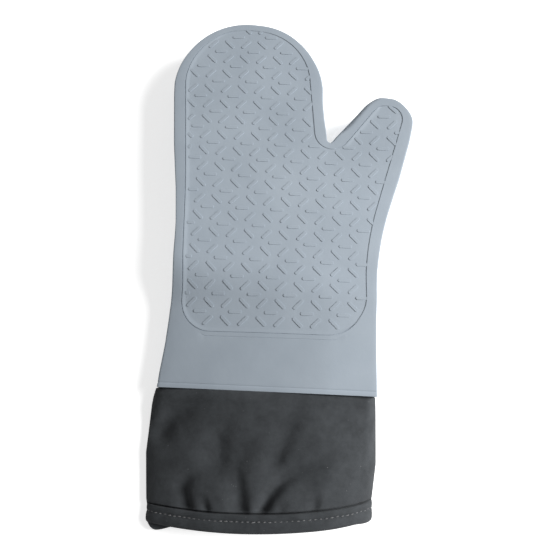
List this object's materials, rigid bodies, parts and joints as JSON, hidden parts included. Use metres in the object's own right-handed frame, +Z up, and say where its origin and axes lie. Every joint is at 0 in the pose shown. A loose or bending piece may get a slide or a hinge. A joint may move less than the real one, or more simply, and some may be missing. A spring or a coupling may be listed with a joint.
{
  "type": "oven mitt",
  "caption": "Long silicone oven mitt with a separate thumb, a tread of raised bars on a sunk grip panel, a padded lined inside and a dark fabric cuff with a stitched hem.",
  "frame": {"origin": "under the middle of the mitt, on the surface that it lies on, palm side up", "axes": "+Y towards the fingertips, +X across the hand towards the thumb, +Z up out of the palm"},
  "size_m": [0.1839, 0.373, 0.0305],
  "materials": {
    "silicone": "matte moulded silicone, grey blue",
    "cuff_fabric": "fine charcoal woven fabric, dull",
    "cuff_lining": "plain dark grey woven lining",
    "lining_cotton": "grey quilted cotton",
    "batting": "white polyester wadding",
    "thread": "light grey sewing thread"
  },
  "bodies": {
    "hand": {"palm_shell": "silicone", "palm_batting_front": "batting", "palm_lining_front": "lining_cotton", "palm_batting_back": "batting", "palm_lining_back": "lining_cotton", "cuff_seam_allowance": "cuff_fabric"},
    "fingers": {"fingers_shell": "silicone", "fingers_batting_front": "batting", "fingers_lining_front": "lining_cotton", "fingers_batting_back": "batting", "fingers_lining_back": "lining_cotton"},
    "thumb": {"thumb_shell": "silicone", "thumb_batting_front": "batting", "thumb_lining_front": "lining_cotton", "thumb_batting_back": "batting", "thumb_lining_back": "lining_cotton"},
    "cuff": {"cuff_front_panel": "cuff_fabric", "cuff_back_panel": "cuff_fabric", "cuff_lining_front": "cuff_lining", "cuff_lining_back": "cuff_lining", "hem_band": "cuff_fabric", "hem_stitches": "thread"}
  },
  "joints": [
    {"name": "finger_flex", "type": "hinge", "parent": "hand", "child": "fingers", "pos_m": [0, 0.112, 0.03], "axis": [1, 0, 0], "range_deg": [0, 60], "stiffness_Nm_per_rad": 0.12},
    {"name": "thumb_flex", "type": "hinge", "parent": "hand", "child": "thumb", "pos_m": [0.0298, 0.0917, 0.03], "axis": [0.5291, -0.8486, 0], "range_deg": [0, 50], "stiffness_Nm_per_rad": 0.08},
    {"name": "cuff_fold", "type": "hinge", "parent": "hand", "child": "cuff", "pos_m": [0, -0.0958, 0.03], "axis": [-1, 0, 0], "range_deg": [0, 60], "stiffness_Nm_per_rad": 0.02}
  ]
}
